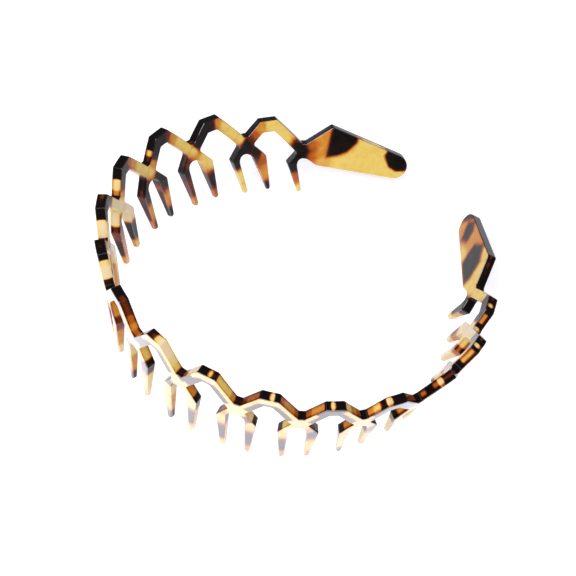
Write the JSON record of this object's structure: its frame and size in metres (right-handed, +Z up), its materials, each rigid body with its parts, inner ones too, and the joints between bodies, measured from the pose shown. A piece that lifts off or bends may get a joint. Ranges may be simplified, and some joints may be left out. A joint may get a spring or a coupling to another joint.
{
  "type": "zig-zag comb headband",
  "caption": "C-shaped tortoiseshell comb headband: a zig-zag rail of flat-topped crests with pairs of teeth below its valleys, sprung arms and flat round-ended paddles.",
  "frame": {"origin": "middle of the base, under the tips of the teeth it stands on", "axes": "+Z up from the tooth tips to the crests, +Y from the crown towards the open side, +X towards the right arm"},
  "size_m": [0.129, 0.1368, 0.044],
  "materials": {
    "tortoiseshell_acetate": "polished mottled tortoiseshell"
  },
  "bodies": {
    "crown": {"crest_06": "tortoiseshell_acetate", "crest_07": "tortoiseshell_acetate", "crest_08": "tortoiseshell_acetate", "crest_09": "tortoiseshell_acetate", "crest_10": "tortoiseshell_acetate", "comb_fork_06": "tortoiseshell_acetate", "comb_fork_07": "tortoiseshell_acetate", "comb_fork_08": "tortoiseshell_acetate", "comb_fork_09": "tortoiseshell_acetate", "comb_fork_10": "tortoiseshell_acetate", "comb_fork_11": "tortoiseshell_acetate"},
    "left_arm": {"crest_01": "tortoiseshell_acetate", "crest_02": "tortoiseshell_acetate", "crest_03": "tortoiseshell_acetate", "crest_04": "tortoiseshell_acetate", "crest_05": "tortoiseshell_acetate", "comb_fork_01": "tortoiseshell_acetate", "comb_fork_02": "tortoiseshell_acetate", "comb_fork_03": "tortoiseshell_acetate", "comb_fork_04": "tortoiseshell_acetate", "comb_fork_05": "tortoiseshell_acetate", "left_paddle": "tortoiseshell_acetate"},
    "right_arm": {"crest_11": "tortoiseshell_acetate", "crest_12": "tortoiseshell_acetate", "crest_13": "tortoiseshell_acetate", "crest_14": "tortoiseshell_acetate", "crest_15": "tortoiseshell_acetate", "comb_fork_12": "tortoiseshell_acetate", "comb_fork_13": "tortoiseshell_acetate", "comb_fork_14": "tortoiseshell_acetate", "comb_fork_15": "tortoiseshell_acetate", "comb_fork_16": "tortoiseshell_acetate", "right_paddle": "tortoiseshell_acetate"}
  },
  "joints": [
    {"name": "left_arm_flex", "type": "hinge", "parent": "crown", "child": "left_arm", "pos_m": [-0.0485, -0.0454, 0.0353], "axis": [0, 0, 1], "range_deg": [0, 20], "stiffness_Nm_per_rad": 0.9},
    {"name": "right_arm_flex", "type": "hinge", "parent": "crown", "child": "right_arm", "pos_m": [0.0485, -0.0454, 0.0353], "axis": [0, 0, -1], "range_deg": [0, 20], "stiffness_Nm_per_rad": 0.9}
  ]
}
